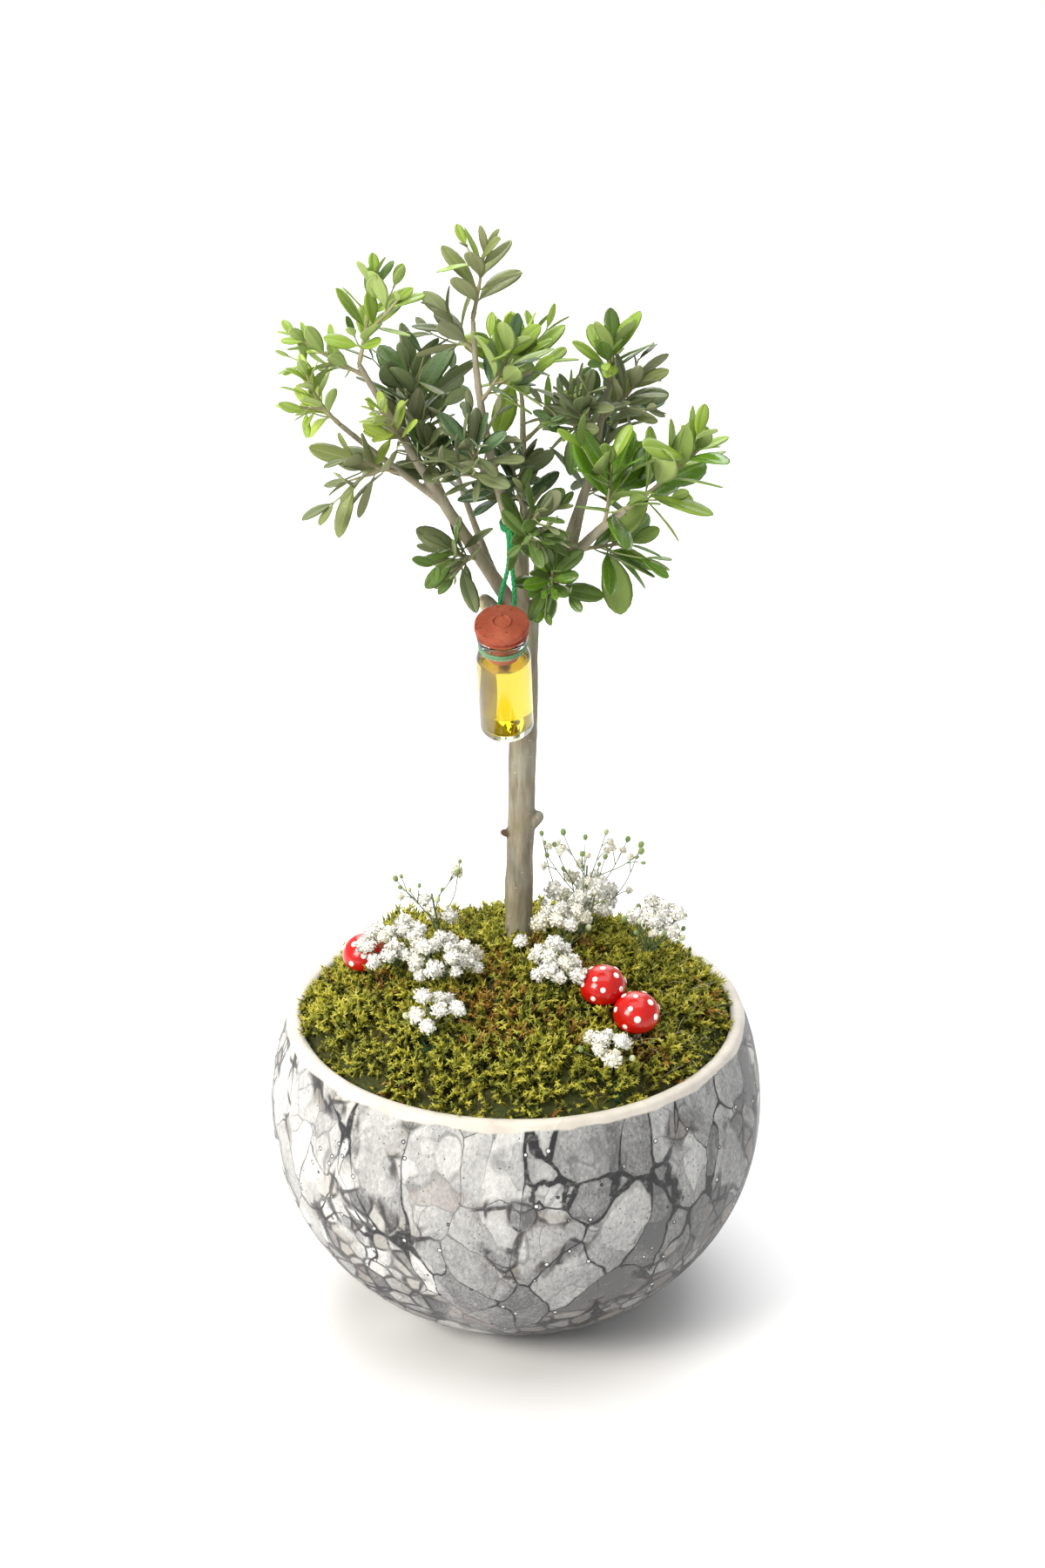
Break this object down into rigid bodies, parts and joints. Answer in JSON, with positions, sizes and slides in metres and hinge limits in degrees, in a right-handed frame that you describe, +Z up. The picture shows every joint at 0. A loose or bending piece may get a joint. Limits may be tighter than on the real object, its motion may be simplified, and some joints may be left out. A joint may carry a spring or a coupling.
{
  "type": "potted olive bonsai",
  "caption": "Small olive tree on one straight stem in a round marbled bowl, with moss, tiny white flowers, red toadstools and a hanging oil vial.",
  "frame": {"origin": "centre of the bowl's flat underside, at the level it stands on", "axes": "+Z up along the bowl's axis, -Y towards the front, where the vial hangs, +X to the right seen from the front"},
  "size_m": [0.2, 0.2, 0.446],
  "materials": {
    "pot": "matt paper-marbled white and grey with dark veins",
    "soil": "damp potting soil",
    "moss": "feathery yellow-green moss with rust-brown tips",
    "bark": "grey-brown bark with pale lenticels",
    "leaf_young": "soft bright green young leaves",
    "leaf_grown": "leathery green leaves, pale beneath",
    "leaf_old": "leathery grey-green leaves, pale beneath",
    "glass": "clear glass",
    "oil": "golden olive oil",
    "stopper": "matt terracotta-red rubber",
    "thread": "green waxed thread",
    "toadstool_cap": "glossy red with white dots",
    "toadstool_stalk": "off-white",
    "blossom": "white double flowers on thin green stalks"
  },
  "bodies": {
    "root": {"bough_back": "bark", "bough_back_left": "bark", "bough_back_right": "bark", "bough_centre_high": "bark", "bough_centre_low": "bark", "bough_left": "bark", "bough_left_inner": "bark", "bough_left_low": "bark", "bough_right_high": "bark", "bough_right_low": "bark", "foliage_back_left": "leaf_grown", "foliage_back_mid": "leaf_old", "foliage_back_right": "leaf_grown", "foliage_back_top": "leaf_young", "foliage_back_twig": "leaf_young", "foliage_centre_base": "leaf_grown", "foliage_centre_front": "leaf_old", "foliage_crown_left": "leaf_grown", "foliage_crown_right": "leaf_old", "foliage_crown_top": "leaf_grown", "foliage_fork": "leaf_grown", "foliage_inner": "leaf_old", "foliage_inner_front": "leaf_old", "foliage_left_back": "leaf_grown", "foliage_left_base": "leaf_grown", "foliage_left_far": "leaf_young", "foliage_left_shoot": "leaf_young", "foliage_left_tip": "leaf_young", "foliage_left_top": "leaf_young", "foliage_left_under": "leaf_grown", "foliage_right_back": "leaf_grown", "foliage_right_front": "leaf_young", "foliage_right_mid": "leaf_old", "foliage_right_side": "leaf_grown", "foliage_right_tip": "leaf_young", "foliage_right_top": "leaf_young", "foliage_right_under": "leaf_grown", "moss": "moss", "pot": "pot", "soil": "soil", "sprig_back": "blossom", "sprig_centre": "blossom", "sprig_centre_back": "blossom", "sprig_front": "blossom", "sprig_left_back": "blossom", "sprig_left_buds": "blossom", "sprig_left_front": "blossom", "sprig_left_mid": "blossom", "sprig_right": "blossom", "thread": "thread", "toadstool_front_cap": "toadstool_cap", "toadstool_front_stalk": "toadstool_stalk", "toadstool_left_cap": "toadstool_cap", "toadstool_left_stalk": "toadstool_stalk", "toadstool_right_cap": "toadstool_cap", "toadstool_right_stalk": "toadstool_stalk", "trunk": "bark", "vial_glass": "glass", "vial_oil": "oil", "vial_stopper": "stopper"}
  },
  "joints": []
}
